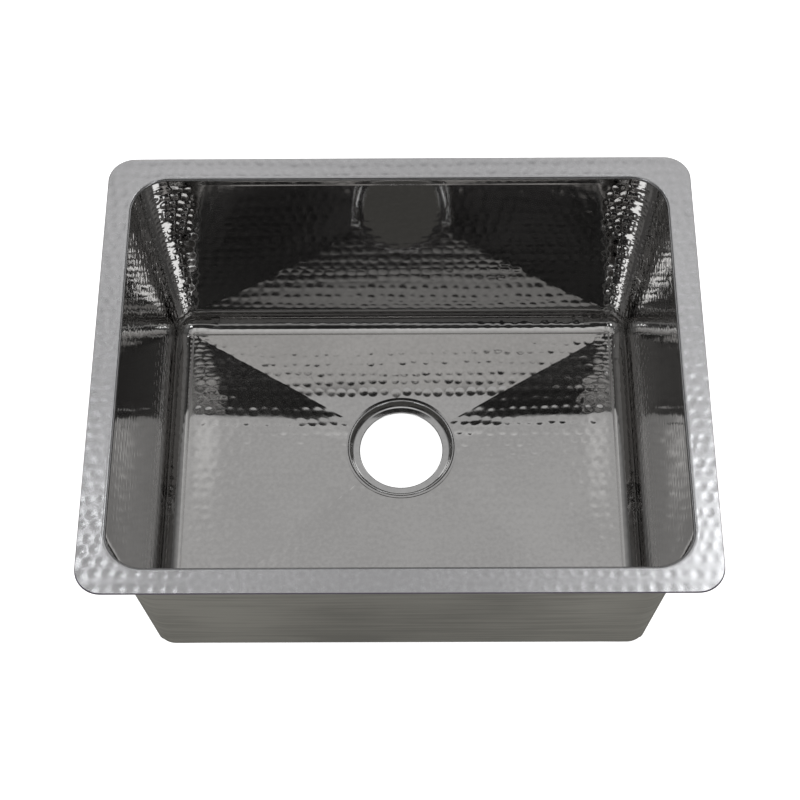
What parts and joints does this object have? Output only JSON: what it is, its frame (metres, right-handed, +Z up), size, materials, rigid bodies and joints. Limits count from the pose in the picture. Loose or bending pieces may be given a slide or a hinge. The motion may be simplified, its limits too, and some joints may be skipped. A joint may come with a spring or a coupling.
{
  "type": "undermount sink bowl",
  "caption": "Rectangular undermount kitchen sink bowl of hammered stainless sheet with a flat rim flange, sloping walls, a floor that falls to the drain and a round drain seat.",
  "frame": {"origin": "below the middle of the rim, at the height of the drain throat's lower edge, on which the loose bowl stands", "axes": "+X to the right along the rim's long side, +Y to the rear, the side that the drain lies nearer to, +Z up through the bowl's open top"},
  "size_m": [0.577, 0.462, 0.2706],
  "materials": {
    "satin_hammered_steel": "stainless steel, lightly hammered, then rubbed to an even satin grey",
    "polished_hammered_steel": "stainless steel, deeply hammered and polished bright inside the bowl, plain brushed mill finish outside",
    "polished_steel": "stainless steel, pressed smooth and polished",
    "weld": "stainless weld metal, ground flush and polished inside, left as a low crown outside"
  },
  "bodies": {
    "root": {"rim_flange": "satin_hammered_steel", "rim_seam": "weld", "front_wall": "polished_hammered_steel", "back_wall": "polished_hammered_steel", "left_wall": "polished_hammered_steel", "right_wall": "polished_hammered_steel", "front_left_seam": "weld", "front_right_seam": "weld", "back_left_seam": "weld", "back_right_seam": "weld", "floor_pan": "polished_hammered_steel", "floor_seam": "weld", "drain_ring": "polished_steel", "drain_seam": "weld"}
  },
  "joints": []
}
